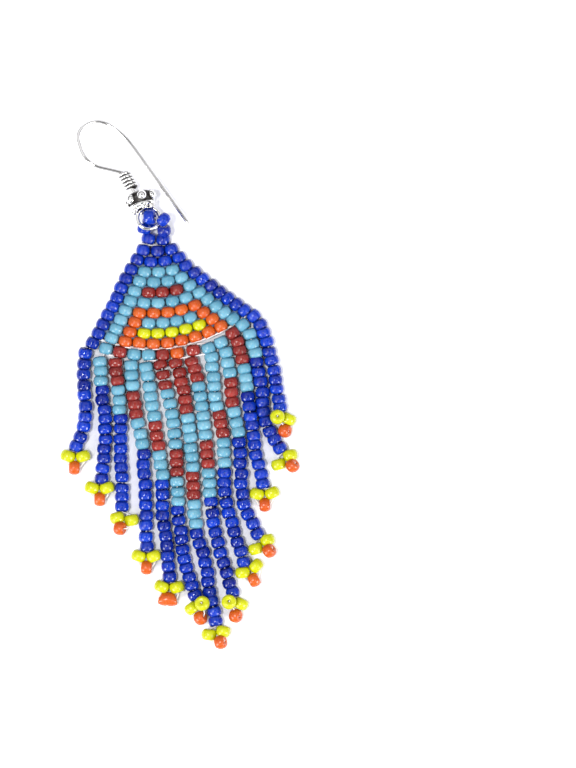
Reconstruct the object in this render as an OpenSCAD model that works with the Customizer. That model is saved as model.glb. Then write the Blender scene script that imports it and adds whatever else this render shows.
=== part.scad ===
// Seed bead earring lying flat on a surface: a brick-stitched bead panel with a beaded fringe,
// threaded through the ring of a silver ear hook. +X is right, +Y runs from fringe to hook, +Z is up.

/* [Seed beads] */
// Diameter of a blue bead
blue_d = 2.16; // [2.0:0.01:2.2]
// Length of a blue bead along its hole
blue_l = 1.52; // [1.4:0.01:1.54]
// Diameter of a turquoise bead
turquoise_d = 2.16; // [2.0:0.01:2.2]
// Length of a turquoise bead along its hole
turquoise_l = 1.48; // [1.4:0.01:1.5]
// Diameter of a red bead
red_d = 2.18; // [2.0:0.01:2.2]
// Length of a red bead along its hole
red_l = 1.42; // [1.3:0.01:1.46]
// Diameter of an orange bead
orange_d = 2.18; // [2.0:0.01:2.2]
// Length of an orange bead along its hole
orange_l = 1.52; // [1.4:0.01:1.54]
// Diameter of a yellow bead
yellow_d = 2.18; // [2.0:0.01:2.2]
// Length of a yellow bead along its hole
yellow_l = 1.52; // [1.4:0.01:1.54]
// Diameter of the doubled thread
thread_d = 0.5; // [0.4:0.05:0.6]

/* [Panel] */
// Distance from bead to bead along the upper rows
row_pitch = 2.32; // [2.29:0.01:2.34]
// Distance from bead to bead along the ladder row, where the strands hang
ladder_pitch = 2.37; // [2.36:0.01:2.38]

/* [Fringe] */
// Blue beads at the lower end of every strand
blue_count = 10; // [9:1:10]
// Most patterned beads on one strand, those of the middle one
pattern_count = 18; // [18:3:18]

/* [Ear hook] */
// Diameter of the silver wire
wire_d = 0.65; // [0.6:0.01:0.65]
// Radius of the ring's centre line
ring_r = 1.85; // [1.8:0.01:1.9]
// Length of the straight leg
leg_l = 16; // [14:0.1:16.4]
// Length of the leg's tapered end
leg_taper_l = 0.4; // [0.2:0.1:0.5]
// Angle by which the hook leans to the left of the panel's centre line
hook_lean = 18.7; // [17:0.1:20]
// Angle by which the hook slopes down towards its bend
hook_slope = 9; // [8.8:0.1:9]
// Angle by which the hook rolls down towards its leg
hook_roll = 15; // [12:1:15]

/* [Wire coil] */
// Turns of the coil
coil_turns = 5; // [4:1:5]
// Diameter of the coil's wire
coil_wire_d = 0.62; // [0.56:0.01:0.62]
// Outer radius of the coil
coil_r = 1.12; // [0.98:0.01:1.2]
// Distance from turn to turn
coil_pitch = 0.66; // [0.64:0.01:0.66]

/* [Granulated bead] */
// Radius of the bead's body
silver_r = 2.0; // [1.9:0.05:2.0]
// Radius of a large granule
granule_r = 0.8; // [0.7:0.05:0.8]
// Large granules round the belt
granule_count = 6; // [5:1:6]
// Radius of a small granule
grain_r = 0.42; // [0.38:0.01:0.44]
// Places for small granules round the lower end, of which the two in the ring's plane stay empty
grain_count = 12; // [10:2:12]
// Radius of the hole through the bead's top
silver_bore_r = 0.95; // [0.92:0.01:1.0]

/* [Hidden] */
$fn = 48;

// Smallest distance kept between two pieces
gap = 0.08;
// Colour letters of the beads, with the colour, diameter and length that each stands for
letters = "BTROY";
bead_colours = ["mediumblue", "skyblue", "firebrick", "orangered", "yellow"];
bead_ds = [blue_d, turquoise_d, red_d, orange_d, yellow_d];
bead_ls = [blue_l, turquoise_l, red_l, orange_l, yellow_l];
// Room that a bead takes on a strand beyond its own length
strand_slack = 0.1;

// Beads of the panel, row by row from the top
panel_chart = [
    "BB",
    "BBB",
    "BBBB",
    "BTTTB",
    "BTTTTB",
    "BTRRRTB",
    "BTTTTTTB",
    "BTOOOOOTB",
    "BTOTTTTOTB",
    "BTOYYYYYOTB",
    "BTOOOOOOOOTB",
    "BTRTTRORTTRTB"
];
// Middle of each row as it lies: x, y, the angle by which the row tilts, and the radius to which it sags
row_places = [
    [2.45, 23.55, -15.5, 9.5],
    [2.35, 21.57, -9, 11],
    [2.15, 19.87, -7.5, 12.5],
    [1.95, 18.18, -6.5, 14],
    [1.97, 16.47, -5.3, 15.5],
    [1.98, 14.76, -4.4, 16.7],
    [2.1, 13.03, -3.5, 18],
    [2.2, 11.36, -2.9, 19.5],
    [2.23, 9.7, -2.5, 21],
    [2.3, 8.05, -2.1, 22.5],
    [2.4, 6.4, -1.7, 24],
    [2.47, 4.48, -0.9, 25]
];
ladder_n = len(panel_chart[11]);

// Route of each strand from its first bead to its last: points x, y on the surface
strand_routes = [
    [[-12.4, 7.2], [-13.3, 3.9], [-14.0, -1.3], [-15.0, -4.8], [-16.7, -7.6]],
    [[-10.3, 5.4], [-10.8, 2.0], [-11.1, -2.3], [-11.5, -5.8], [-12.4, -9.4], [-13.6, -13.5]],
    [[-7.9, 4.8], [-8.1, 1.7], [-8.5, -2.5], [-8.95, -6.0], [-9.7, -10.0], [-10.3, -14.5], [-11.1, -18.8]],
    [[-5.4, 3.7], [-5.9, -0.5], [-6.1, -5.0], [-5.9, -9.0], [-6.5, -13.5], [-7.1, -18.5], [-8.4, -25.9]],
    [[-3.0, 3.0], [-3.2, -3.0], [-3.3, -9.0], [-3.7, -15.0], [-4.7, -20.5], [-5.1, -26.0], [-5.5, -31.6]],
    [[-0.5, 3.0], [-0.3, -2.5], [-0.4, -9.0], [-1.1, -14.5], [-2.0, -20.0], [-2.5, -26.0], [-2.6, -29.8],
        [-2.0, -35.3]],
    [[2.0, 2.8], [2.4, -2.0], [2.1, -8.0], [1.5, -14.0], [0.7, -20.0], [0.2, -25.0], [0.7, -29.5],
        [0.6, -34.5], [0.6, -40.1]],
    [[4.5, 2.8], [5.0, -1.5], [4.8, -6.0], [4.5, -11.0], [3.9, -16.0], [3.3, -21.0], [3.3, -26.0],
        [3.5, -30.5], [4.3, -36.0]],
    [[7.9, 2.7], [7.5, -1.0], [7.3, -5.5], [7.4, -9.5], [6.8, -14.5], [6.0, -19.0], [6.1, -24.0],
        [6.9, -31.3]],
    [[10.5, 3.1], [10.2, -2.0], [9.9, -6.5], [10.0, -10.5], [9.3, -16.0], [8.75, -20.0], [8.95, -23.4],
        [10.1, -27.1]],
    [[12.65, 4.55], [12.8, 1.8], [12.7, -4.0], [12.4, -9.0], [12.2, -13.0], [12.4, -19.3]],
    [[14.75, 5.4], [15.1, 2.3], [15.15, -3.0], [14.75, -7.5], [15.05, -10.6], [16.2, -14.1]],
    [[16.85, 6.65], [17.15, 5.2], [17.45, 2.8], [17.6, -1.3], [17.45, -7.5]]
];

// How much farther apart the upper beads of each strand lie than the lower ones
strand_skews = [0, 0, 0, 0, 0, 0.06, 0, -0.04, -0.02, 0, 0, 0, 0.01];

// Tips of the strands: form, direction of the yellow pair's middle from the last blue bead, slope of the
// pair, and direction of the orange bead from that middle. Directions are angles to the right of straight
// down, and the form is a row of tip_forms.
tip_places = [
    [0, -15, -11, -16],
    [0, -22, -12, -9],
    [1, -1, -20, -34],
    [0, -10, -11, -10],
    [5, -15, -13, -17],
    [4, 1, 16, 5],
    [2, -9, 3, 16],
    [3, -1, -22, -8],
    [0, 26, 16, 13],
    [2, 6, 27, 42],
    [0, -1, -6, -10],
    [2, 11, 28, 43],
    [3, 7, -22, -2]
];
// Forms of a tip: spread, orange turned left, orange turned right, left yellow raised, right yellow raised,
// spread with a long orange bead.
// Columns: distance to the pair's middle, distance across the pair, distance on to the orange bead,
// rise of the left yellow, of the right yellow and of the orange bead above the surface,
// lean of the left and of the right yellow bead in towards the strand, and rise of the orange bead's hole
tip_forms = [
    [1.66, 2.5, 2.1, 0, 0, 0, 28, 28, 0],
    [2.05, 2.5, 1.76, 0, 0, 0.7, -26, 20, 60],
    [2.05, 2.5, 1.76, 0, 0, 0.7, 20, -26, 60],
    [1.75, 1.95, 2.14, 1.6, 0, 0.1, 0, -12, 70],
    [1.75, 1.95, 2.14, 0, 1.6, 0.1, -12, 0, 70],
    [1.66, 2.5, 2.22, 0, 0, 0, 28, 28, 0]
];
// Angle by which a raised yellow bead's hole stands up
raised_rise = 75;
// The tip whose orange bead is an odd long one, and that bead's length
long_tip = 4;
long_orange_l = 3.0;

// Beads of the hanging loop, from the left end of the top row through the ring to the right end: x, y, z
loop_places = [
    [0.7, 25.35, 2.65],
    [1.9, 26.6, 1.25],
    [2.25, 27.45, 3.6],
    [4.4, 26.4, 4.6],
    [4.15, 24.7, 2.8]
];

// Centre of the hook's ring
ring_place = [2.0, 27.1, 3.5];
wire_r = wire_d / 2;
// The wire above the ring: each straight length, then the turn to the left and its radius
hook_bends = [
    [6.4, 50, 1.1],
    [3.2, -62, 4.4],
    [1.4, -72, 2.5],
    [0.3, -64, 3.5],
    [0.3, -25.5, 11.8]
];
// Each bend is a hair thinner than the straights and reaches a little way into them
bend_thinner = 0.005;
bend_reach = 0.06;

// Middle of the coil's lowest turn above the ring's centre
coil_start = 5.68;
coil_wire_r = coil_wire_d / 2;
coil_line_r = coil_r - coil_wire_r;
// Thickness of the seam that joins the turns
coil_seam_t = 0.14;

// Foot of the silver bead's axis above the ring's centre, and its tilt from the hook's axis
silver_foot = 1.55;
silver_tilt = 9;
// Heights above the foot: small granules, lower edge, rim, belt of large granules, top
grain_h = 0.3;
silver_edge_h = 0.55;
rim_h = 0.85;
belt_h = 2.35;
silver_top_h = 3.4;
rim_w = 0.5;
rim_r = silver_r + 0.2;
groove_r = silver_r - 0.15;
grain_ring_r = 1.78;
granule_ring_r = silver_r + 0.05;
recess_r = 1.4;
recess_top_h = 1.5;

function letter_index(c) = search(c, letters)[0];
function bead_r(c) = bead_ds[letter_index(c)] / 2;
function bead_l(c) = bead_ls[letter_index(c)];
function down(angle) = [sin(angle), -cos(angle), 0];
function along(angle) = [cos(angle), sin(angle), 0];

// Place of bead i in the row with index k, and the angle of its hole
function row_n(k) = len(panel_chart[k]);
function row_step(k) = row_n(k) == ladder_n ? ladder_pitch : row_pitch;
function row_arc(k, i) = (i - (row_n(k) - 1) / 2) * row_step(k) / row_places[k][3] * 180 / PI;
function row_turn(k, i) = row_arc(k, i) + row_places[k][2];
function row_point(k, i) =
    let (a = row_arc(k, i), t = row_places[k][2])
    let (x = row_places[k][3] * sin(a), y = row_places[k][3] * (1 - cos(a)))
    [
        row_places[k][0] + x * cos(t) - y * sin(t),
        row_places[k][1] + x * sin(t) + y * cos(t),
        bead_r(panel_chart[k][i])
    ];

// Colour letters of strand k from the top: a pattern that is read up from the blue beads, then the blue ones
function pattern_n(k) = pattern_count - 3 * abs(k - 6);
function pattern_letter(up) = up < 3 ? "T" : up < 6 ? "R" : up < 12 ? "T" : "R";
function strand_n(k) = pattern_n(k) + blue_count;
function strand_letter(k, j) = j < pattern_n(k) ? pattern_letter(pattern_n(k) - 1 - j) : "B";

// Smooth curve through the points of a route
function curve_point(p, i, t) =
    let (a = p[max(i - 1, 0)], b = p[i], c = p[i + 1], d = p[min(i + 2, len(p) - 1)])
    0.5 * (2 * b + (c - a) * t + (2 * a - 5 * b + 4 * c - d) * t * t + (3 * b - a - 3 * c + d) * t * t * t);
curve_steps = 12;
function curve(p) = concat(
    [for (i = [0:len(p) - 2], s = [0:curve_steps - 1]) curve_point(p, i, s / curve_steps)],
    [p[len(p) - 1]]
);
function run_lengths(q) = [
    for (i = 0, s = 0; i < len(q); s = s + norm(q[min(i + 1, len(q) - 1)] - q[i]), i = i + 1) s
];
// Distance of each bead from the first along its strand, before it is fitted to the route
function strand_runs(k) = [
    for (
        j = 0, s = 0;
        j < strand_n(k);
        s = s + strand_slack + (bead_l(strand_letter(k, j)) + bead_l(strand_letter(k, j + 1))) / 2,
        j = j + 1
    ) s
];
// Places of the beads of strand k and the angle of each hole from straight down
function strand_beads(k) =
    let (q = curve(strand_routes[k]), runs = run_lengths(q), n = strand_n(k), steps = strand_runs(k))
    let (end = runs[len(q) - 1], fit = end / steps[n - 1])
    let (xs = [for (i = [0:len(q) - 1]) [runs[i], q[i][0]]], ys = [for (i = [0:len(q) - 1]) [runs[i], q[i][1]]])
    [
        for (j = [0:n - 1])
            let (even = steps[j] * fit, s = even + strand_skews[k] * even * (1 - even / end))
            let (a = max(s - 0.7, 0), b = min(s + 0.7, end))
            [
                [lookup(s, xs), lookup(s, ys), bead_r(strand_letter(k, j))],
                atan2(lookup(b, xs) - lookup(a, xs), lookup(a, ys) - lookup(b, ys))
            ]
    ];

// Directions in which a bead's hole can point
function turned(angle) = [cos(angle), sin(angle), 0];
function risen(angle, rise) = [cos(angle) * cos(rise), sin(angle) * cos(rise), sin(rise)];

// Puts +Z of what follows along v at point p
module aim(p, v) {
    translate(p)
        rotate([0, acos(v[2] / norm(v)), atan2(v[1], v[0])])
            children();
}

// One bead of colour c, its hole along v
module seed_bead(c, p, v, long = 0) {
    r = bead_r(c);
    h = long > 0 ? long : bead_l(c);
    color(bead_colours[letter_index(c)])
        aim(p, v)
            rotate_extrude()
                intersection() {
                    scale(max(1, h / bead_l(c)))
                        circle(r);
                    translate([0, -h / 2])
                        square([r, h]);
                }
}

// Thread between two beads, clear of their middles
module thread_link(a, b, start, end) {
    v = b - a;
    color("white")
        aim(a + v / norm(v) * start, v)
            cylinder(d = thread_d, h = norm(v) - start - end);
}

module panel_row(k) {
    n = row_n(k);
    for (i = [0:n - 1])
        seed_bead(panel_chart[k][i], row_point(k, i), turned(row_turn(k, i) + 90));
    for (i = [0:n - 2])
        thread_link(row_point(k, i), row_point(k, i + 1), 0.6, 0.6);
}

module strand(k) {
    beads = strand_beads(k);
    n = strand_n(k);
    for (j = [0:n - 1])
        seed_bead(strand_letter(k, j), beads[j][0], down(beads[j][1]));
    for (j = [0:n - 2])
        thread_link(beads[j][0], beads[j + 1][0], 0.5, 0.5);
    thread_link(beads[0][0], row_point(len(panel_chart) - 1, k), 0.5, bead_l("B") / 2 + 2 * gap);
}

// Places of a tip's beads: left yellow, right yellow, orange
function tip_points(k) =
    let (place = tip_places[k], form = tip_forms[place[0]], beads = strand_beads(k))
    let (last = beads[len(beads) - 1][0], r = bead_r("Y"))
    let (flat = [last[0], last[1], r] + form[0] * down(place[1]), half = form[1] / 2 * along(place[2]))
    [
        flat - half + [0, 0, form[3]],
        flat + half + [0, 0, form[4]],
        flat + form[2] * down(place[3]) + [0, 0, form[5]]
    ];

module tip(k) {
    place = tip_places[k];
    form = tip_forms[place[0]];
    p = tip_points(k);
    up = place[2] + 90;
    left_hole = risen(up - form[6], form[3] > 0 ? raised_rise : 0);
    right_hole = risen(up + form[7], form[4] > 0 ? raised_rise : 0);
    seed_bead("Y", p[0], left_hole);
    seed_bead("Y", p[1], right_hole);
    seed_bead("O", p[2], risen(place[2], form[8]), k == long_tip ? long_orange_l : 0);
    thread_link(p[0], p[2], 0.3, 0.3);
    thread_link(p[1], p[2], 0.3, 0.3);
}

module bead_loop() {
    n = len(loop_places);
    top_row = [row_point(0, 0), row_point(0, 1)];
    route = concat([top_row[0]], loop_places, [top_row[1]]);
    for (i = [1:n])
        seed_bead("B", route[i], route[i + 1] - route[i - 1]);
    for (i = [1:n - 1])
        thread_link(route[i], route[i + 1], 0.3, 0.3);
}

// The hook's own frame: origin at the ring's centre, +Y up the wire's axis, +X towards the leg
module hook_frame() {
    translate(ring_place)
        rotate([0, 0, hook_lean])
            rotate([-hook_slope, 0, 0])
                rotate([0, hook_roll, 0])
                    children();
}

// Wire that runs straight along +Y and then turns, over and over, with the leg after the last bend
module bent_wire(i = 0) {
    if (i < len(hook_bends)) {
        run = hook_bends[i][0];
        turn = hook_bends[i][1];
        radius = hook_bends[i][2];
        side = turn > 0 ? -1 : 1;
        reach = bend_reach / radius * 180 / PI;
        straight_wire(run, 0);
        translate([side * radius, run, 0]) {
            rotate([0, 0, (turn > 0 ? 0 : 180 + turn) - reach])
                rotate_extrude(angle = abs(turn) + 2 * reach)
                    translate([radius, 0])
                        circle(wire_r - bend_thinner);
            rotate([0, 0, turn])
                translate([-side * radius, 0, 0])
                    bent_wire(i + 1);
        }
    } else {
        straight_wire(leg_l, leg_taper_l);
    }
}

module straight_wire(run, taper) {
    rotate([-90, 0, 0])
        rotate_extrude()
            polygon(
                taper > 0
                    ? [[0, 0], [wire_r, 0], [wire_r, run - taper], [wire_r / 2, run], [0, run]]
                    : [[0, 0], [wire_r, 0], [wire_r, run], [0, run]]
            );
}

module ear_hook() {
    color("silver")
        hook_frame() {
            rotate_extrude()
                translate([ring_r, 0])
                    circle(wire_r);
            translate([0, ring_r, 0])
                bent_wire();
        }
}

module wire_coil() {
    color("silver")
        hook_frame()
            translate([0, coil_start, 0])
                rotate([-90, 0, 0])
                    rotate_extrude()
                        union() {
                            for (i = [0:coil_turns - 1])
                                translate([coil_line_r, i * coil_pitch])
                                    circle(coil_wire_r);
                            translate([coil_line_r - coil_seam_t / 2, 0])
                                square([coil_seam_t, (coil_turns - 1) * coil_pitch]);
                        }
}

module granulated_bead() {
    color("gray")
        hook_frame()
            translate([0, silver_foot, 0])
                rotate([0, 0, -silver_tilt])
                    rotate([-90, 0, 0]) {
                        rotate_extrude()
                            polygon([
                                [silver_bore_r, recess_top_h],
                                [recess_r, recess_top_h],
                                [recess_r, silver_edge_h],
                                [groove_r, silver_edge_h],
                                [rim_r, rim_h - rim_w / 2],
                                [rim_r, rim_h + rim_w / 2],
                                [groove_r, rim_h + rim_w],
                                [silver_r, belt_h],
                                [groove_r, silver_top_h - 0.3],
                                [silver_bore_r + 0.4, silver_top_h],
                                [silver_bore_r, silver_top_h]
                            ]);
                        for (i = [0:granule_count - 1])
                            rotate([0, 0, 90 + i * 360 / granule_count])
                                translate([granule_ring_r, 0, belt_h])
                                    sphere(granule_r);
                        for (i = [0:grain_count - 1])
                            if (i % (grain_count / 2) != 0)
                                rotate([0, 0, i * 360 / grain_count])
                                    translate([grain_ring_r, 0, grain_h])
                                        sphere(grain_r);
                    }
}

ear_hook();
wire_coil();
granulated_bead();
bead_loop();
panel_row(0);  // row_02
panel_row(1);  // row_03
panel_row(2);  // row_04
panel_row(3);  // row_05
panel_row(4);  // row_06
panel_row(5);  // row_07
panel_row(6);  // row_08
panel_row(7);  // row_09
panel_row(8);  // row_10
panel_row(9);  // row_11
panel_row(10);  // row_12
panel_row(11);  // row_13
strand(0);  // strand_a
strand(1);  // strand_b
strand(2);  // strand_c
strand(3);  // strand_d
strand(4);  // strand_e
strand(5);  // strand_f
strand(6);  // strand_g
strand(7);  // strand_h
strand(8);  // strand_i
strand(9);  // strand_j
strand(10);  // strand_k
strand(11);  // strand_l
strand(12);  // strand_m
tip(0);  // tip_a
tip(1);  // tip_b
tip(2);  // tip_c
tip(3);  // tip_d
tip(4);  // tip_e
tip(5);  // tip_f
tip(6);  // tip_g
tip(7);  // tip_h
tip(8);  // tip_i
tip(9);  // tip_j
tip(10);  // tip_k
tip(11);  // tip_l
tip(12);  // tip_m
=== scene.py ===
import math
import random

import bpy
from mathutils import Matrix, Vector


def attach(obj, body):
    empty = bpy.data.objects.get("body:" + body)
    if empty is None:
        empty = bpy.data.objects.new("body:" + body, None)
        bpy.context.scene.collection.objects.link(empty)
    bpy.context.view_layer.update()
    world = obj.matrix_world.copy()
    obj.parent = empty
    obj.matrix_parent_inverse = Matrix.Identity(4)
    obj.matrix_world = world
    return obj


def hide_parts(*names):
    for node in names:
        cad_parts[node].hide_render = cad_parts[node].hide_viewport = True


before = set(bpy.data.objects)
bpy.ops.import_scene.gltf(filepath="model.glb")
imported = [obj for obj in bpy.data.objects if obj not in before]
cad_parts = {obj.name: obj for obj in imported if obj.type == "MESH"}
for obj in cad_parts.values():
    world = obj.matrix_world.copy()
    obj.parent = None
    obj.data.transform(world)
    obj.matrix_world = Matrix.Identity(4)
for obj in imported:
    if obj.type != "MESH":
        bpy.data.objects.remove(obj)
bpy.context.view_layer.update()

MM = 0.001
scene = bpy.context.scene
# Edit mode picks by points
scene.tool_settings.mesh_select_mode = (True, False, False)

# Camera, light and floor

# The camera looks straight down from above the middle of the picture, turned as the earring lies in it.
PICTURE_MIDDLE = Vector((19.5, -3.9, 1.1)) * MM
PICTURE_TALL = 126.7 * MM
PICTURE_TURN = math.radians(-10.6)
CAMERA_UP = 600 * MM
# Distance of the lamps from the earring, in metres
LAMP_AWAY = 0.75

bpy.ops.object.camera_add(location=PICTURE_MIDDLE + Vector((0, 0, CAMERA_UP)), rotation=(0, 0, PICTURE_TURN))
camera = bpy.context.object
camera.data.sensor_width = 36
camera.data.lens = 36 * CAMERA_UP / PICTURE_TALL
camera.data.clip_start = 0.01
camera.data.clip_end = 20
scene.camera = camera
scene.view_settings.view_transform = "Standard"


def in_picture(across, up, high):
    """A direction given as the picture shows it: to the right, up the page, and towards the eye."""
    return Matrix.Rotation(PICTURE_TURN, 3, "Z") @ Vector((across, up, high))


def round_lamp(name, direction, wide, power, tint):
    """A small round studio lamp that shines at the middle of the earring."""
    to_lamp = direction.normalized()
    bpy.ops.object.light_add(type="AREA", location=to_lamp * LAMP_AWAY)
    lamp = bpy.context.object
    lamp.name = name
    lamp.data.shape = "DISK"
    lamp.data.size = wide
    lamp.data.energy = power
    lamp.data.color = tint
    lamp.rotation_euler = to_lamp.to_track_quat("Z", "Y").to_euler()
    lamp.visible_camera = False


WHITE_LIGHT = (1, 0.99, 0.97)
WARM_LIGHT = (1, 0.98, 0.96)
round_lamp("top_lamp", in_picture(-0.20, -0.03, 1), 0.10, 2.9, WHITE_LIGHT)
round_lamp("upper_right_lamp", in_picture(0.42, -0.12, 0.90), 0.20, 0.6, WHITE_LIGHT)
round_lamp("upper_left_lamp", in_picture(-0.36, -0.25, 0.90), 0.20, 0.6, WHITE_LIGHT)
round_lamp("left_lamp", in_picture(-0.70, -0.60, 0.42), 0.28, 4.0, WARM_LIGHT)
round_lamp("right_lamp", in_picture(0.77, -0.51, 0.42), 0.28, 4.0, WARM_LIGHT)

bpy.ops.mesh.primitive_plane_add(size=4, location=(0, 0, 0))
floor = bpy.context.object
floor.name = "white_table"

# How finishes are put together


def new_finish(name):
    """A new material with its node tree, its main shader and its place on the piece."""
    finish = bpy.data.materials.new(name)
    finish.use_nodes = True
    tree = finish.node_tree
    place = tree.nodes.new("ShaderNodeTexCoord")
    return finish, tree, tree.nodes["Principled BSDF"], place.outputs["Object"]


def grain(tree, place, size, detail=2.0):
    """Cloudy unevenness whose patches are about size across."""
    cloud = tree.nodes.new("ShaderNodeTexNoise")
    cloud.inputs["Scale"].default_value = 1 / size
    cloud.inputs["Detail"].default_value = detail
    tree.links.new(place, cloud.inputs["Vector"])
    return cloud.outputs["Fac"]


def marked(tree, name):
    """What a piece's own mark says at each point."""
    mark = tree.nodes.new("ShaderNodeAttribute")
    mark.attribute_name = name
    return mark.outputs["Fac"]


def spread(tree, value, low, high, start=0.0, end=1.0):
    """value, stretched from low..high to start..end."""
    stretch = tree.nodes.new("ShaderNodeMapRange")
    for socket, number in zip(("From Min", "From Max", "To Min", "To Max"), (low, high, start, end)):
        stretch.inputs[socket].default_value = number
    tree.links.new(value, stretch.inputs["Value"])
    return stretch.outputs["Result"]


def blend(tree, share, one, other):
    """Colour that goes from one to other as share goes from 0 to 1."""
    mix = tree.nodes.new("ShaderNodeMix")
    mix.data_type = "RGBA"
    tree.links.new(share, mix.inputs["Factor"])
    for socket, colour in ((mix.inputs["A"], one), (mix.inputs["B"], other)):
        if isinstance(colour, tuple):
            socket.default_value = (*colour, 1)
        else:
            tree.links.new(colour, socket)
    return mix.outputs["Result"]


def sum_of(tree, a, b, kind="ADD"):
    """Two values added, or joined in another way."""
    total = tree.nodes.new("ShaderNodeMath")
    total.operation = kind
    for socket, value in zip(total.inputs, (a, b)):
        if isinstance(value, (int, float)):
            socket.default_value = value
        else:
            tree.links.new(value, socket)
    return total.outputs[0]


def dents(tree, shader, height, deep):
    """Puts fine dents of that depth on the surface."""
    bump = tree.nodes.new("ShaderNodeBump")
    bump.inputs["Strength"].default_value = 1
    bump.inputs["Distance"].default_value = deep
    tree.links.new(height, bump.inputs["Height"])
    tree.links.new(bump.outputs["Normal"], shader.inputs["Normal"])


# Room

# Dark patch overhead, which the wire mirrors: its middle, half its width and its soft edge along each axis
DARK_PATCH = (("X", 0.0, 0.44, 0.12), ("Y", -0.05, 0.34, 0.06))
PATCH_LIGHT = 0.12
# Turn that lays the patch square to the hook's leg
PATCH_TURN = math.radians(-25)


def pale_room():
    """Soft light from a pale ceiling over dim walls, with a dark patch overhead where the camera stands."""
    world = bpy.data.worlds.new("pale_room")
    scene.world = world
    world.use_nodes = True
    air = world.node_tree
    looking = air.nodes.new("ShaderNodeTexCoord")
    turned = air.nodes.new("ShaderNodeVectorRotate")
    turned.rotation_type = "Z_AXIS"
    turned.inputs["Angle"].default_value = PATCH_TURN
    split = air.nodes.new("ShaderNodeSeparateXYZ")
    air.links.new(looking.outputs["Generated"], turned.inputs["Vector"])
    air.links.new(turned.outputs["Vector"], split.inputs[0])
    height = air.nodes.new("ShaderNodeValToRGB")
    walls, ceiling = height.color_ramp.elements
    walls.position, walls.color = 0.30, (0.12, 0.12, 0.13, 1)
    ceiling.position, ceiling.color = 0.62, (0.98, 0.98, 1.0, 1)
    air.links.new(split.outputs["Z"], height.inputs["Fac"])
    shares = []
    for axis, middle, half, soft in DARK_PATCH:
        away = sum_of(air, split.outputs[axis], -middle)
        shares.append(spread(air, sum_of(air, away, 0, "ABSOLUTE"), half, half + soft, 1.0, 0.0))
    shade = spread(air, sum_of(air, *shares, "MULTIPLY"), 0, 1, 1.0, PATCH_LIGHT)
    air.links.new(height.outputs["Color"], air.nodes["Background"].inputs["Color"])
    air.links.new(shade, air.nodes["Background"].inputs["Strength"])


pale_room()

# Finishes

LETTERS = "BTROY"
COLOURS = dict(zip(LETTERS, ("blue", "turquoise", "red", "orange", "yellow")))


def bead_finish(name, deep, light, painted_seam_shade, rough, soft, soft_reach):
    """Moulded glass: each bead has a tone of its own, cloudy patches, and painted shade at its ends and
    round its hole.
    """
    finish, tree, shader, place = new_finish(name)
    patches = spread(tree, grain(tree, place, 0.9 * MM), 0.32, 0.68, -0.25, 0.25)
    share = sum_of(tree, sum_of(tree, patches, marked(tree, "tone")), 0.5)
    body = blend(tree, share, deep, light)
    # Painted shade: the rim mark darkens each bead towards its seam colour where it meets its neighbours and
    # round its hole
    rim = spread(tree, marked(tree, "rim"), 0.25, 1.0, 0.0, 0.85)
    tree.links.new(blend(tree, rim, body, painted_seam_shade), shader.inputs["Base Color"])
    gloss = spread(tree, grain(tree, place, 0.5 * MM), 0.3, 0.7, rough * 0.7, rough * 1.5)
    tree.links.new(gloss, shader.inputs["Roughness"])
    shader.inputs["IOR"].default_value = 1.52
    shader.inputs["Specular IOR Level"].default_value = 0.4
    shader.inputs["Subsurface Weight"].default_value = soft
    shader.inputs["Subsurface Radius"].default_value = soft_reach
    shader.inputs["Subsurface Scale"].default_value = 1.0 * MM
    coarse = grain(tree, place, 0.7 * MM, 1)
    fine = sum_of(tree, grain(tree, place, 0.12 * MM, 2), 0.12, "MULTIPLY")
    dents(tree, shader, sum_of(tree, coarse, fine), 0.006 * MM)
    return finish


# Each glass: its dark and light tone, its painted seam shade for the rims where beads meet, its roughness,
# and how softly and far light enters
GLASSES = {
    "B": ((0.002, 0.010, 0.185), (0.003, 0.038, 0.44), (0.001, 0.004, 0.085), 0.04, 0.25, (0.1, 0.2, 1.0)),
    "T": ((0.09, 0.27, 0.38), (0.155, 0.365, 0.485), (0.045, 0.19, 0.29), 0.12, 0.2, (0.2, 0.7, 1.0)),
    "R": ((0.155, 0.012, 0.010), (0.29, 0.030, 0.024), (0.10, 0.008, 0.008), 0.05, 0.2, (1.0, 0.15, 0.1)),
    "O": ((0.46, 0.066, 0.006), (0.53, 0.100, 0.012), (0.38, 0.042, 0.005), 0.24, 0.2, (1.0, 0.4, 0.1)),
    "Y": ((0.44, 0.47, 0.002), (0.50, 0.525, 0.003), (0.25, 0.22, 0.001), 0.22, 0.2, (1.0, 0.9, 0.1)),
}
FINISHES = {letter: bead_finish(f"{COLOURS[letter]}_glass", *glass) for letter, glass in GLASSES.items()}


def silver_finish():
    """Bright silver, black where the mark says: oxide in the bead's hollows, and painted shade between the
    coil's turns and on the small granules.
    """
    finish, tree, shader, place = new_finish("silver")
    rub = spread(tree, grain(tree, place, 0.6 * MM, 4), 0.3, 0.7)
    bright = blend(tree, rub, (0.86, 0.85, 0.83), (0.97, 0.965, 0.95))
    black = sum_of(tree, marked(tree, "oxide_and_painted_shade"), spread(tree, rub, 0, 1, -0.12, 0.12))
    tree.links.new(blend(tree, black, bright, (0.020, 0.017, 0.016)), shader.inputs["Base Color"])
    tree.links.new(spread(tree, marked(tree, "oxide_and_painted_shade"), 0, 1, 1.0, 0.55), shader.inputs["Metallic"])
    polish = spread(tree, rub, 0, 1, 0.05, 0.12)
    dull = spread(tree, marked(tree, "oxide_and_painted_shade"), 0, 1, 0, 0.3)
    tree.links.new(sum_of(tree, polish, dull), shader.inputs["Roughness"])
    dents(tree, shader, grain(tree, place, 0.08 * MM, 3), 0.0012 * MM)
    return finish


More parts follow.
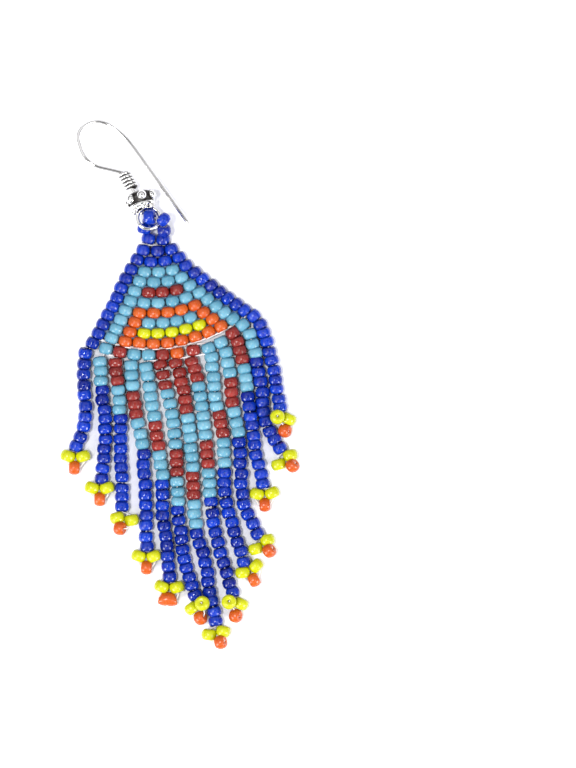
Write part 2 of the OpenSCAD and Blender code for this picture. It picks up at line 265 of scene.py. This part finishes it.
def thread_finish():
    """Pale beading thread with fine fibres, painted a dark bluish shade where its mark says that it lies
    deep.
    """
    finish, tree, shader, place = new_finish("thread")
    fibres = grain(tree, place, 0.15 * MM, 4)
    stain = spread(tree, grain(tree, place, 3 * MM), 0.4, 0.65)
    plain = blend(tree, fibres, (0.82, 0.80, 0.80), (0.96, 0.95, 0.95))
    worn = blend(tree, stain, plain, (0.86, 0.74, 0.76))
    # Painted shade: the deep mark turns the thread dark blue where it lies down between the beads
    tree.links.new(blend(tree, marked(tree, "deep"), worn, (0.07, 0.12, 0.20)), shader.inputs["Base Color"])
    shader.inputs["Roughness"].default_value = 0.6
    shader.inputs["Subsurface Weight"].default_value = 0.2
    shader.inputs["Subsurface Radius"].default_value = (1.0, 0.8, 0.7)
    shader.inputs["Subsurface Scale"].default_value = 0.2 * MM
    dents(tree, shader, fibres, 0.03 * MM)
    return finish


def table_finish():
    """Plain white card with a very fine tooth."""
    finish, tree, shader, place = new_finish("white_card")
    tooth = grain(tree, place, 0.6 * MM, 3)
    tree.links.new(blend(tree, tooth, (0.91, 0.92, 0.975), (0.93, 0.94, 0.985)), shader.inputs["Base Color"])
    shader.inputs["Roughness"].default_value = 0.7
    shader.inputs["Specular IOR Level"].default_value = 0.2
    dents(tree, shader, tooth, 0.01 * MM)
    return finish


SILVER = silver_finish()
THREAD = thread_finish()
floor.data.materials.append(table_finish())

# How pieces are shaped


def take(obj):
    """Picks obj and nothing else."""
    bpy.ops.object.select_all(action="DESELECT")
    obj.select_set(True)
    bpy.context.view_layer.objects.active = obj


def pick(obj, wanted):
    """Opens obj for editing with just the points that are wanted picked."""
    take(obj)
    for kind in (obj.data.polygons, obj.data.edges, obj.data.vertices):
        kind.foreach_set("select", [False] * len(kind))
    for point in obj.data.vertices:
        point.select = wanted(point.co)
    bpy.ops.object.mode_set(mode="EDIT")


def shut():
    """Closes the piece that is open for editing."""
    bpy.ops.object.mode_set(mode="OBJECT")


def face_out(obj):
    """Turns every face of a closed shape outwards."""
    pick(obj, lambda p: True)
    bpy.ops.mesh.normals_make_consistent(inside=False)
    shut()


def lathe(name, rings, sides=40):
    """A turned shape with a bore: a ring drawn on through each radius and height in turn, then closed."""
    bpy.ops.mesh.primitive_circle_add(vertices=sides, radius=rings[0][0] * MM, location=(0, 0, 0))
    shape = bpy.context.object
    shape.name = name
    pick(shape, lambda p: True)
    bpy.ops.transform.translate(value=(0, 0, rings[0][1] * MM))
    for (r0, h0), (r1, h1) in zip(rings, rings[1:]):
        bpy.ops.mesh.extrude_edges_move(TRANSFORM_OT_translate={"value": (0, 0, (h1 - h0) * MM)})
        bpy.ops.transform.resize(value=(r1 / r0, r1 / r0, 1), center_override=(0, 0, 0))
    shut()
    pick(shape, lambda p: math.hypot(p.x, p.y) < (rings[0][0] + 0.01) * MM)
    bpy.ops.mesh.bridge_edge_loops()
    shut()
    face_out(shape)
    return shape


def mark(obj, name, value):
    """Marks every point of obj with a value, or with what value gives for the point's place."""
    marks = obj.data.attributes.get(name) or obj.data.attributes.new(name, "FLOAT", "POINT")
    for point, spot in zip(obj.data.vertices, marks.data):
        spot.value = value(point.co) if callable(value) else value


def copy_of(model, matrix):
    """A copy of a model with its own mesh, put in place."""
    one = model.copy()
    one.data = model.data.copy()
    one.data.transform(matrix)
    bpy.context.collection.objects.link(one)
    return one


def join(parts, name):
    """Joins parts to one piece at the origin."""
    take(parts[0])
    for part in parts:
        part.select_set(True)
    if len(parts) > 1:
        bpy.ops.object.join()
    piece = bpy.context.object
    piece.name = piece.data.name = name
    return piece


def finish_piece(piece, material, slot, *nodes):
    """Gives a piece its finish, lets it ride on the earring, and shows it in place of its CAD nodes."""
    piece.data.materials.clear()
    piece.data.materials.append(material)
    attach(piece, "root")
    if nodes:
        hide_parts(*nodes)


def aimed(place, hole, roll=0.0):
    """Stands a shape at a place in millimetres with its hole along a direction."""
    turn = Vector(hole).to_track_quat("Z", "Y").to_matrix().to_4x4()
    return Matrix.Translation(Vector(place) * MM) @ turn @ Matrix.Rotation(roll, 4, "Z")


# Seed beads

# Radius and length of the beads in millimetres, and how many sides their models have
BEAD_R, STRAND_R, YELLOW_R = 1.19, 1.22, 1.25
BEAD_L = dict(zip(LETTERS, (1.52, 1.48, 1.42, 1.52, 1.52)))
MODEL_L, LONG_L, YELLOW_L, ORANGE_L = 1.6, 3.0, 1.8, 1.76
PLAIN_SIDES, FINE_SIDES = 10, 20
# How much the beads of a glass differ in tone, and the most that one may
TONE_SPREAD, TONE_MOST = 0.2, 0.5


def model_bead(sides, length, profile):
    """A seed bead standing on its hole, from shares of its radius and half its length, the hole first."""
    half = length / 2
    upper = [(wide * BEAD_R, high * half) for wide, high in profile]
    lower = [(wide, -high) for wide, high in reversed(upper) if high > 0]
    bead = lathe("bead_model", upper + lower, sides)
    bpy.ops.object.shade_smooth()
    # A fine bead gets painted shade round its hole, a plain one towards both ends, where beads meet
    if sides == FINE_SIDES:
        mark(bead, "rim", lambda p: max(0, 0.35 - math.hypot(p.x, p.y) / MM / BEAD_R) / 0.3)
    else:
        mark(bead, "rim", lambda p: max(0, abs(p.z) / MM / half - 0.5) / 0.5)
    mark(bead, "tone", 0.0)
    return bead


PLAIN_PROFILE = ((0.3, 0.95), (0.75, 1), (0.92, 0.64), (1, 0.2))
FINE_PROFILE = ((0.15, 0.78), (0.3, 0.9), (0.55, 1), (0.71, 0.95), (0.83, 0.81), (0.94, 0.5), (0.985, 0.25),
                (1, 0))
PLAIN_BEAD = model_bead(PLAIN_SIDES, MODEL_L, PLAIN_PROFILE)
FINE_BEAD = model_bead(FINE_SIDES, MODEL_L, FINE_PROFILE)
LONG_BEAD = model_bead(FINE_SIDES, LONG_L, FINE_PROFILE)
# The long bead is uneven: wide along its lower side, short along its upper side, and hollow in between
pick(LONG_BEAD, lambda p: p.x > 0.3 * MM)
bpy.ops.transform.resize(value=(1, 1, 0.8), center_override=(0, 0, 0))
shut()
pick(LONG_BEAD, lambda p: p.x < -0.3 * MM)
bpy.ops.transform.resize(value=(1, 1, 1.07), center_override=(0, 0, 0))
shut()
pick(LONG_BEAD, lambda p: p.x < -0.7 * MM and abs(p.z) < 0.2 * MM)
bpy.ops.transform.translate(value=(0.14 * MM, 0, 0))
shut()
luck = random.Random(11)


def string_beads(node, beads, model=PLAIN_BEAD, loose=0.03):
    """Beads of one CAD node, each with letter, place, hole, radius and length: a piece for each glass."""

    def stray(most):
        """A small chance shift in every direction."""
        return Vector([luck.uniform(-most, most) for _ in range(3)])

    for letter in dict.fromkeys(bead[0] for bead in beads):
        copies = []
        for kind, place, hole, radius, length in beads:
            if kind != letter:
                continue
            fat, tall = luck.uniform(0.98, 1.0) * radius / BEAD_R, luck.uniform(0.99, 1.01)
            shape, roll = model, luck.uniform(0, 6)
            if length == LONG_L:
                shape, roll = LONG_BEAD, 0
            else:
                tall *= length / MODEL_L
            lean = Vector(hole).normalized() + stray(1.3 * loose)
            aside = stray(loose)
            aside.z = 0
            spot = aimed(Vector(place) + aside, lean, roll)
            one = copy_of(shape, spot @ Matrix.Diagonal((fat, fat, tall, 1)))
            mark(one, "tone", max(-TONE_MOST, min(TONE_MOST, luck.gauss(0, TONE_SPREAD))))
            copies.append(one)
        colour = COLOURS[letter]
        finish_piece(join(copies, f"{node}_{colour}"), FINISHES[letter], f"{colour}_glass", node)


def down(angle):
    """Straight down the fringe, turned to the right by an angle in degrees."""
    return Vector((math.sin(math.radians(angle)), -math.cos(math.radians(angle)), 0))


def risen(angle, rise):
    """A direction at an angle to the right-hand side that rises from the table."""
    a, r = math.radians(angle), math.radians(rise)
    return Vector((math.cos(a) * math.cos(r), math.sin(a) * math.cos(r), math.sin(r)))


# Panel, row by row from the top: colours, middle and tilt of each row, and radius of the arc it sags in
PANEL = [
    ("BB", 2.45, 23.55, -15.5, 9.5),
    ("BBB", 2.35, 21.57, -9, 11),
    ("BBBB", 2.15, 19.87, -7.5, 12.5),
    ("BTTTB", 1.95, 18.18, -6.5, 14),
    ("BTTTTB", 1.97, 16.47, -5.3, 15.5),
    ("BTRRRTB", 1.98, 14.76, -4.4, 16.7),
    ("BTTTTTTB", 2.1, 13.03, -3.5, 18),
    ("BTOOOOOTB", 2.2, 11.36, -2.9, 19.5),
    ("BTOTTTTOTB", 2.23, 9.7, -2.5, 21),
    ("BTOYYYYYOTB", 2.3, 8.05, -2.1, 22.5),
    ("BTOOOOOOOOTB", 2.4, 6.4, -1.7, 24),
    ("BTRTTRORTTRTB", 2.47, 4.48, -0.9, 25),
]
# Steps between the beads of a row, and of the last row, the ladder row
ROW_STEP, LADDER_STEP = 2.32, 2.37
# Length of the beads in the rows: the uppermost rows lie wider apart
ROW_LENGTHS = [1.88, 1.84] + [1.75] * 9 + [1.84]
# How far the strands pull some beads of the ladder row out of line
PULLED = {7: (0.31, -0.11), 8: (0.44, -0.55), 9: (0.38, -0.45), 10: (0.32, -0.08)}


def row_beads(k):
    """Letter, place, hole, radius and length of each bead in a row of the panel."""
    letters, x, y, tilt, sag = PANEL[k]
    ladder = k == len(PANEL) - 1
    step = LADDER_STEP if ladder else ROW_STEP
    beads = []
    for i, letter in enumerate(letters):
        arc = (i - (len(letters) - 1) / 2) * step / sag
        flat = Vector((sag * math.sin(arc), sag * (1 - math.cos(arc)), 0))
        turn = Matrix.Rotation(math.radians(tilt), 3, "Z")
        place = Vector((x, y, BEAD_R)) + turn @ flat
        if ladder:
            place += Vector((*PULLED.get(i, (0, 0)), 0))
        beads.append((letter, place, risen(math.degrees(arc) + tilt + 90, 0), BEAD_R, ROW_LENGTHS[k]))
    return beads


ROWS = [row_beads(k) for k in range(len(PANEL))]
for k, beads in enumerate(ROWS):
    string_beads(f"row_{k + 2:02d}", beads, loose=0.05)

# Strands of the fringe from left to right: the route of each on the table
ROUTES = [
    [(-12.4, 7.2), (-13.3, 3.9), (-14.0, -1.3), (-15.0, -4.8), (-16.7, -7.6)],
    [(-10.3, 5.4), (-10.8, 2.0), (-11.1, -2.3), (-11.5, -5.8), (-12.4, -9.4), (-13.6, -13.5)],
    [(-7.9, 4.8), (-8.1, 1.7), (-8.5, -2.5), (-8.95, -6.0), (-9.7, -10.0), (-10.3, -14.5), (-11.1, -18.8)],
    [(-5.35, 3.9), (-5.9, -0.5), (-6.1, -5.0), (-5.9, -9.0), (-6.5, -13.5), (-7.1, -18.5), (-8.4, -25.9)],
    [(-3.0, 3.25), (-3.2, -3.0), (-3.3, -9.0), (-3.7, -15.0), (-4.7, -20.5), (-5.1, -26.0), (-5.5, -31.6)],
    [(-0.5, 3.0), (-0.3, -2.5), (-0.4, -9.0), (-1.1, -14.5), (-2.0, -20.0), (-2.5, -26.0), (-2.6, -29.8),
     (-2.0, -35.3)],
    [(2.0, 2.8), (2.4, -2.0), (2.1, -8.0), (1.5, -14.0), (0.7, -20.0), (0.2, -25.0), (0.7, -29.5),
     (0.6, -34.5), (0.6, -40.1)],
    [(4.5, 2.8), (5.0, -1.5), (4.8, -6.0), (4.5, -11.0), (3.9, -16.0), (3.3, -21.0), (3.3, -26.0),
     (3.5, -30.5), (4.3, -36.0)],
    [(7.9, 2.7), (7.5, -1.0), (7.3, -5.5), (7.4, -9.5), (6.8, -14.5), (6.0, -19.0), (6.1, -24.0),
     (6.9, -31.3)],
    [(10.5, 3.1), (10.2, -2.0), (9.9, -6.5), (10.0, -10.5), (9.3, -16.0), (8.75, -20.0), (8.95, -23.4),
     (10.1, -27.1)],
    [(12.65, 4.55), (12.8, 1.8), (12.7, -4.0), (12.4, -9.0), (12.2, -13.0), (12.4, -19.3)],
    [(14.75, 5.4), (15.1, 2.3), (15.15, -3.0), (14.75, -7.5), (15.05, -10.6), (16.2, -14.1)],
    [(16.85, 6.65), (17.15, 5.2), (17.45, 2.8), (17.6, -1.3), (17.45, -7.5)],
]
# Steps between two places of a route, gap between beads, how far along it the lie of a bead is read,
# and how much longer than its place a bead is made
ROUTE_STEPS, STRAND_GAP, READ_AHEAD, SNUG = 12, 0.1, 0.7, 0.06
# Colours of the middle strand above its ten blue beads, read upwards
ABOVE_BLUE = "TTTRRRTTTTTTRRRRRR"
# How much wider than even the beads of each strand lie at its top, and how much closer at its end
SKEWS = [0, 0, 0, 0, 0, 0.06, 0, -0.04, -0.02, 0, 0, 0, 0.01]


def strand_letters(k):
    """Colours of a strand from its top, three beads fewer for each strand outwards from the middle one."""
    count = len(ABOVE_BLUE) - 3 * abs(k - len(ROUTES) // 2)
    return ABOVE_BLUE[:count][::-1] + "B" * 10


def smooth_route(points):
    """A smooth curve through the points, as short steps."""
    p = [Vector(q) for q in points]
    steps = []
    for i in range(len(p) - 1):
        a, b, c, d = p[max(i - 1, 0)], p[i], p[i + 1], p[min(i + 2, len(p) - 1)]
        for s in range(ROUTE_STEPS):
            t = s / ROUTE_STEPS
            steps.append(0.5 * (2 * b + (c - a) * t + (2 * a - 5 * b + 4 * c - d) * t**2
                                + (3 * b - a - 3 * c + d) * t**3))
    return steps + [p[-1]]


def strand_beads(k):
    """Letter, place, hole, radius and length of each bead down a strand, each bead as long as its place."""
    letters, line = strand_letters(k), smooth_route(ROUTES[k])
    runs = [0.0]
    for a, b in zip(line, line[1:]):
        runs.append(runs[-1] + (b - a).length)
    needs = [0.0]
    for a, b in zip(letters, letters[1:]):
        needs.append(needs[-1] + STRAND_GAP + (BEAD_L[a] + BEAD_L[b]) / 2)

    def at(run):
        i = max(j for j in range(len(runs) - 1) if runs[j] <= run)
        return line[i].lerp(line[i + 1], (run - runs[i]) / (runs[i + 1] - runs[i]))

    fit = runs[-1] / needs[-1]
    beads = []
    for letter, need in zip(letters, needs):
        even = need * fit
        run = even + SKEWS[k] * even * (1 - even / runs[-1])
        ahead = at(min(run + READ_AHEAD, runs[-1])) - at(max(run - READ_AHEAD, 0))
        length = (BEAD_L[letter] + STRAND_GAP) * fit * (1 - abs(SKEWS[k])) + SNUG
        place, hole = Vector((*at(run), STRAND_R)), Vector((*ahead.normalized(), 0))
        beads.append((letter, place, hole, STRAND_R, length))
    return beads


STRANDS = [strand_beads(k) for k in range(len(ROUTES))]
NAMES = "abcdefghijklm"
for name, beads in zip(NAMES, STRANDS):
    string_beads(f"strand_{name}", beads, loose=0.11)

# Tip of each strand: its form, the way to the yellow pair, the pair's slope, and the way to the orange bead
TIPS = [
    ("spread", -15, -11, -16),
    ("spread", -22, -12, -9),
    ("turned left", -1, -20, -34),
    ("spread", -10, -11, -10),
    ("long orange", -15, -13, -17),
    ("right raised", 1, 16, 5),
    ("turned right", -9, 3, 16),
    ("left raised", -1, -22, -8),
    ("spread", 26, 16, 13),
    ("turned right", 6, 27, 42),
    ("spread", -1, -6, -10),
    ("turned right", 11, 28, 43),
    ("left raised", 7, -22, -2),
]
# Way down to the pair, across it and on to the orange bead; rise of the left, right and orange bead;
# lean of the left and right bead; and how steeply the orange bead's hole stands
TIP_FORMS = {
    "spread": (1.62, 2.46, 1.9, 0, 0, 0, 20, 20, 0),
    "turned left": (1.98, 2.42, 1.68, 0, 0, 0.7, -26, 20, 22),
    "turned right": (1.98, 2.42, 1.68, 0, 0, 0.7, 20, -26, 22),
    "left raised": (1.75, 1.95, 2.14, 1.6, 0, 0.1, 0, -12, 25),
    "right raised": (1.75, 1.95, 2.14, 0, 1.6, 0.1, -12, 0, 25),
    "long orange": (1.62, 2.46, 2.08, 0, 0, 0, 20, 20, 0),
}
# How steeply the hole of a raised yellow bead stands
RAISED_STEEP = 75


def tip_beads(k):
    """Letter, place, hole, radius and length of the yellow pair and the orange bead that end a strand."""
    form, way, slope, on = TIPS[k]
    far, wide, out, rise_a, rise_b, rise_o, lean_a, lean_b, steep = TIP_FORMS[form]
    last = STRANDS[k][-1][1]
    middle = Vector((last.x, last.y, YELLOW_R)) + far * down(way)
    half = risen(slope, 0) * wide / 2
    up = slope + 90
    left_hole = risen(up - lean_a, RAISED_STEEP if rise_a else 0)
    right_hole = risen(up + lean_b, RAISED_STEEP if rise_b else 0)
    length = LONG_L if form == "long orange" else ORANGE_L
    return [
        ("Y", middle - half + Vector((0, 0, rise_a)), left_hole, YELLOW_R, YELLOW_L),
        ("Y", middle + half + Vector((0, 0, rise_b)), right_hole, YELLOW_R, YELLOW_L),
        ("O", middle + out * down(on) + Vector((0, 0, rise_o)), risen(slope, steep), BEAD_R, length),
    ]


TIP_BEADS = [tip_beads(k) for k in range(len(TIPS))]
for name, beads in zip(NAMES, TIP_BEADS):
    string_beads(f"tip_{name}", beads, FINE_BEAD)

# Beads that carry the panel from the hook's ring, from the left end of the top row round to its right end
LOOP = [Vector(p) for p in
        ((0.95, 25.6, 2.45), (1.9, 26.6, 1.25), (2.22, 27.25, 3.8), (4.4, 26.4, 4.6), (4.15, 24.7, 2.8))]
loop_line = [ROWS[0][0][1], *LOOP, ROWS[0][1][1]]
# How the holes of the loop's beads lie, each a little off the way to its neighbours
LOOP_HOLES = [Vector(v) for v in
              ((1.2, 3.0, 0.1), (1.5, 2.1, 0.4), (2.4, -0.5, 0.65), (1.9, -2.6, -0.5), (-0.5, -2.6, -1.4))]
LOOP_LENGTHS = (1.62, 1.56, 1.84, 1.72, 1.72)
LOOP_RADII = (1.17, 1.17, 1.33, 1.17, 1.17)
loop_beads = [("B", *bead) for bead in zip(LOOP, LOOP_HOLES, LOOP_RADII, LOOP_LENGTHS)]
string_beads("bead_loop", loop_beads, FINE_BEAD)
for model in (PLAIN_BEAD, FINE_BEAD, LONG_BEAD):
    bpy.data.objects.remove(model)

# Thread


def run_thread(name, lines, thick, order=3, deep=0.0):
    """Thread along each line of places in millimetres, as one piece, with painted shade where it lies deep.
    """
    path = bpy.data.curves.new(name, "CURVE")
    path.dimensions = "3D"
    path.bevel_depth = thick / 2 * MM
    path.bevel_resolution = 1
    path.resolution_u = 3
    path.use_fill_caps = True
    for line in lines:
        spline = path.splines.new("NURBS")
        spline.points.add(len(line) - 1)
        for spot, place in zip(spline.points, line):
            spot.co = (*(Vector(place) * MM), 1)
        spline.order_u = order
        spline.use_endpoint_u = True
    piece = bpy.data.objects.new(name, path)
    bpy.context.collection.objects.link(piece)
    take(piece)
    bpy.ops.object.convert(target="MESH")
    bpy.ops.object.shade_smooth()
    mark(bpy.context.object, "deep", deep)
    finish_piece(bpy.context.object, THREAD, "thread")


def end_of(bead, side, beyond=0.0):
    """The end of a bead's hole on one side, or a point beyond it."""
    _, place, hole, _, length = bead
    return place + hole.normalized() * side * (length / 2 + beyond)


def seam_line(beads, side, high):
    """Thread that lies along one edge of a few beads of a row, from hole to hole and up over each seam."""
    line = [end_of(beads[0], side, -0.3)]
    for a, b in zip(beads, beads[1:]):
        over = (end_of(a, side) + end_of(b, side)) / 2 + Vector((0, 0, high))
        line += [end_of(a, side, 0.03) + Vector((0, 0, high / 2)), over]
    return line + [end_of(beads[-1], side, 0.03), end_of(beads[-1], side, -0.3)]


LADDER = ROWS[-1]
stitches = [
    seam_line(LADDER[2:7], 1, 0.62),
    seam_line(LADDER[1:3], -1, 0.5),
    seam_line(LADDER[4:6], -1, 0.55),
    seam_line(LADDER[6:9], -1, 0.5),
    seam_line(LADDER[7:9], 1, 0.4),
]
for upper, lower in zip(ROWS, ROWS[1:]):
    for side in (0, -1):
        a, b = upper[side], lower[side]
        stitches.append([a[1], end_of(a, -1), end_of(b, 1), b[1]])
        inner = lower[1 if side == 0 else -2]
        between = (end_of(b, 1) + end_of(inner, 1)) / 2
        stitches.append([b[1], end_of(b, 1), between, end_of(inner, 1), inner[1]])
run_thread("panel_thread", stitches, 0.22)
# Bridges of thread between the beads of each row, from which the next row hangs: the inner ones are made
# thick and painted dark to stand for the shade in the seams between rows, the top ones half as dark
bridges = [[end_of(bead, -1) for bead in beads] for beads in ROWS[:-1]]
run_thread("bridge_thread", bridges[2:-1], 0.8, order=2, deep=1.0)
run_thread("top_bridge_thread", bridges[:2], 0.3, order=2, deep=0.5)
run_thread("ladder_thread", bridges[-1:], 0.34, order=2)


def tip_line(k):
    """Thread out of a strand's last bead, round through its tip's three beads and back."""
    last, (left, right, orange) = STRANDS[k][-1], TIP_BEADS[k]
    near = 1 if TIPS[k][0] == "left raised" else -1
    through_left = [end_of(left, 1), end_of(left, -1)]
    through_orange = [end_of(orange, near), end_of(orange, -near)]
    through_right = [end_of(right, -1), end_of(right, 1)]
    way_round = through_left + through_orange + through_right
    return [last[1], end_of(last, 1), *way_round, end_of(last, 1), last[1]]


falls = []
for k, strand in enumerate(STRANDS):
    falls.append([LADDER[k][1], end_of(LADDER[k], -1)] + [bead[1] for bead in strand])
run_thread("fringe_thread", falls, 0.27)
run_thread("tip_thread", [tip_line(k) for k in range(len(TIPS))], 0.2, order=2)
# Painted shade: the loop's thread is darkened to a bluish grey among the beads
run_thread("loop_thread", [loop_line], 0.3, deep=0.6)

# Silver

# Radius of the hook's ring and of its wire in millimetres, and steps round the ring
RING_R, WIRE_R, RING_STEPS = 1.85, 0.325, 72
# How the hook lies: the middle of its ring, its turn on the table and its two tilts
HOOK = (Matrix.Translation(Vector((2.0, 27.1, 3.5)) * MM) @ Matrix.Rotation(math.radians(18.7), 4, "Z")
        @ Matrix.Rotation(math.radians(-9), 4, "X") @ Matrix.Rotation(math.radians(15), 4, "Y"))
# Lays a shape that was made standing along the hook's core
UPRIGHT = Matrix.Rotation(math.radians(-90), 4, "X")
# Wire above the ring: each straight length, then the turn to the left and its radius
BENDS = [(6.4, 50, 1.1), (3.2, -62, 4.4), (1.4, -72, 2.5), (0.3, -64, 3.5), (0.3, -25.5, 11.8)]
LEG_LENGTH = 16
# Coil: its turns and the step of each, radius of its wire and its turns, and its start above the ring
COIL_TURNS, COIL_STEP, COIL_WIRE_R, COIL_R, COIL_START = 5, 0.59, 0.27, 0.84, 5.75
# The coil is painted darker inwards from this radius, over this depth, as shade between its turns
COIL_SHADE_R, COIL_SHADE_FADE = 1.08, 0.10
# Granules in each ring of the silver bead, and the radius and place, out and up, of the big and small ones
GRANULES = 6
BIG_R, BIG_OUT, BIG_UP = 0.8, 2.05, 2.12
SMALL_R, SMALL_OUT, SMALL_UP = 0.5, 1.64, 0.3
# Outline of the silver bead from its bore round its collar, rim, body and top
SILVER_RINGS = [
    (0.95, 1.5), (1.33, 1.5), (1.33, 0.24), (1.45, 0.16), (1.62, 0.18), (1.7, 0.3), (1.7, 0.46),
    (2.12, 0.54), (2.2, 0.66), (2.2, 0.96), (2.12, 1.06), (1.85, 1.12), (1.85, 1.35), (1.98, 1.7),
    (2.0, 2.1), (1.96, 2.5), (1.88, 2.82), (1.72, 3.04), (1.35, 3.16), (1.0, 3.16), (0.95, 3.1),
]


def hook_line():
    """The middle of the hook's wire from the ring up round the bend and down the leg."""
    here, heading, line = Vector((0, RING_R, 0)), 90.0, []
    for run, turn, radius in BENDS:
        line += [here.copy(), here + 0.5 * run * risen(heading, 0)]
        here = here + run * risen(heading, 0)
        side = 1 if turn > 0 else -1
        middle = here + radius * risen(heading + 90 * side, 0)
        count = max(3, round(abs(turn) / 6))
        for s in range(count):
            line.append(middle - radius * risen(heading + turn * s / count + 90 * side, 0))
        heading += turn
        here = middle - radius * risen(heading + 90 * side, 0)
    shares = (0, 0.25, 0.5, 0.75, 0.96, 0.985, 1)
    return line + [here + share * LEG_LENGTH * risen(heading, 0) for share in shares]


def wire_piece():
    """The hook as one length of wire, its ring closed and its leg rounded off."""
    path = bpy.data.curves.new("ear_hook_wire", "CURVE")
    path.dimensions = "3D"
    path.bevel_depth = WIRE_R * MM
    path.bevel_resolution = 5
    path.resolution_u = 1
    path.use_fill_caps = True
    ring = path.splines.new("POLY")
    ring.points.add(RING_STEPS - 1)
    for i, spot in enumerate(ring.points):
        spot.co = (*(RING_R * MM * risen(i * 360 / RING_STEPS, 0)), 1)
    ring.use_cyclic_u = True
    line = hook_line()
    wire = path.splines.new("POLY")
    wire.points.add(len(line) - 1)
    for spot, place in zip(wire.points, line):
        spot.co = (*(place * MM), 1)
    wire.points[-2].radius, wire.points[-1].radius = 0.85, 0.45
    piece = bpy.data.objects.new("ear_hook_wire", path)
    bpy.context.collection.objects.link(piece)
    take(piece)
    bpy.ops.object.convert(target="MESH")
    piece = bpy.context.object
    piece.data.transform(HOOK)
    bpy.ops.object.shade_smooth_by_angle(angle=math.radians(50))
    mark(piece, "oxide_and_painted_shade", 0.0)
    finish_piece(piece, SILVER, "silver", "ear_hook")


def coil_piece():
    """Close turns of wire round the hook's core, with painted shade between them, both ends closed and
    underneath.
    """
    bpy.ops.mesh.primitive_circle_add(vertices=16, radius=COIL_WIRE_R * MM, location=(COIL_R * MM, 0, 0),
                                      rotation=(math.radians(90), 0, 0))
    coil = bpy.context.object
    bpy.ops.object.transform_apply(location=True, rotation=True, scale=True)
    wind = coil.modifiers.new("wind", "SCREW")
    wind.angle = math.radians(-360 * COIL_TURNS)
    wind.screw_offset = COIL_STEP * COIL_TURNS * MM
    wind.steps = wind.render_steps = 150
    wind.use_merge_vertices = False
    bpy.ops.object.modifier_apply(modifier="wind")
    pick(coil, lambda p: True)
    bpy.ops.mesh.fill_holes(sides=16)
    shut()
    face_out(coil)
    bpy.ops.object.shade_smooth_by_angle(angle=math.radians(60))
    coil.name = coil.data.name = "wire_coil_turns"
    # Painted shade: the inner sides of the turns, seen between them, are darkened
    mark(coil, "oxide_and_painted_shade", lambda p: max(0.0, min(1.0, (COIL_SHADE_R - math.hypot(p.x, p.y) / MM) / COIL_SHADE_FADE)))
    roll = Matrix.Rotation(math.radians(90), 4, "Z")
    coil.data.transform(HOOK @ Matrix.Translation((0, COIL_START * MM, 0)) @ UPRIGHT @ roll)
    finish_piece(coil, SILVER, "silver", "wire_coil")


wire_piece()
coil_piece()


def granule_model(radius, sides, rings, shoulder, flat, dark):
    """A granule standing on its foot: a ball pressed flatter above its shoulder."""
    bpy.ops.mesh.primitive_uv_sphere_add(segments=sides, ring_count=rings, radius=radius * MM)
    granule = bpy.context.object
    pick(granule, lambda p: p.z > shoulder * MM)
    bpy.ops.transform.resize(value=(1.0, 1.0, flat), center_override=(0, 0, shoulder * MM))
    shut()
    bpy.ops.object.shade_smooth()
    mark(granule, "oxide_and_painted_shade", dark)
    return granule


def silver_bead():
    """The silver bead: dark body, bright collar and rim, and big granules with a small one below each."""
    body = lathe("silver_body", SILVER_RINGS)
    bpy.ops.object.shade_smooth_by_angle(angle=math.radians(40))

    def dark(p):
        """How dark a place of the body is: not on collar and rim, a little on top, black elsewhere."""
        wide, high = math.hypot(p.x, p.y) / MM, p.z / MM
        rim = 0.1 < high < 1.08 and wide > 1.4
        top = high > 2.95 and wide < 1.75
        return 0.0 if rim else 0.3 if top else 1.0

    mark(body, "oxide_and_painted_shade", dark)
    parts = [body]
    big = granule_model(BIG_R, 20, 12, 0.3, 0.82, lambda p: 1.0 if p.z < 0.1 * MM else 0.0)
    # Painted shade: the small granules are greyed a little all over, for the shade along the bead's lower
    # edge
    small = granule_model(SMALL_R, 16, 10, 0.15, 0.85, 0.2)
    for i in range(GRANULES):
        out = risen(90 + i * 360 / GRANULES, 0)
        parts.append(copy_of(big, aimed(BIG_OUT * out + Vector((0, 0, BIG_UP)), out)))
        downward = out + Vector((0, 0, -0.5))
        parts.append(copy_of(small, aimed(SMALL_OUT * out + Vector((0, 0, SMALL_UP)), downward)))
    bpy.data.objects.remove(big)
    bpy.data.objects.remove(small)
    bead = join(parts, "granulated_bead_silver")
    lean = Matrix.Rotation(math.radians(-13), 4, "Z")
    bead.data.transform(HOOK @ Matrix.Translation((-0.1 * MM, 1.5 * MM, 0)) @ lean @ UPRIGHT)
    finish_piece(bead, SILVER, "silver", "granulated_bead")


silver_bead()
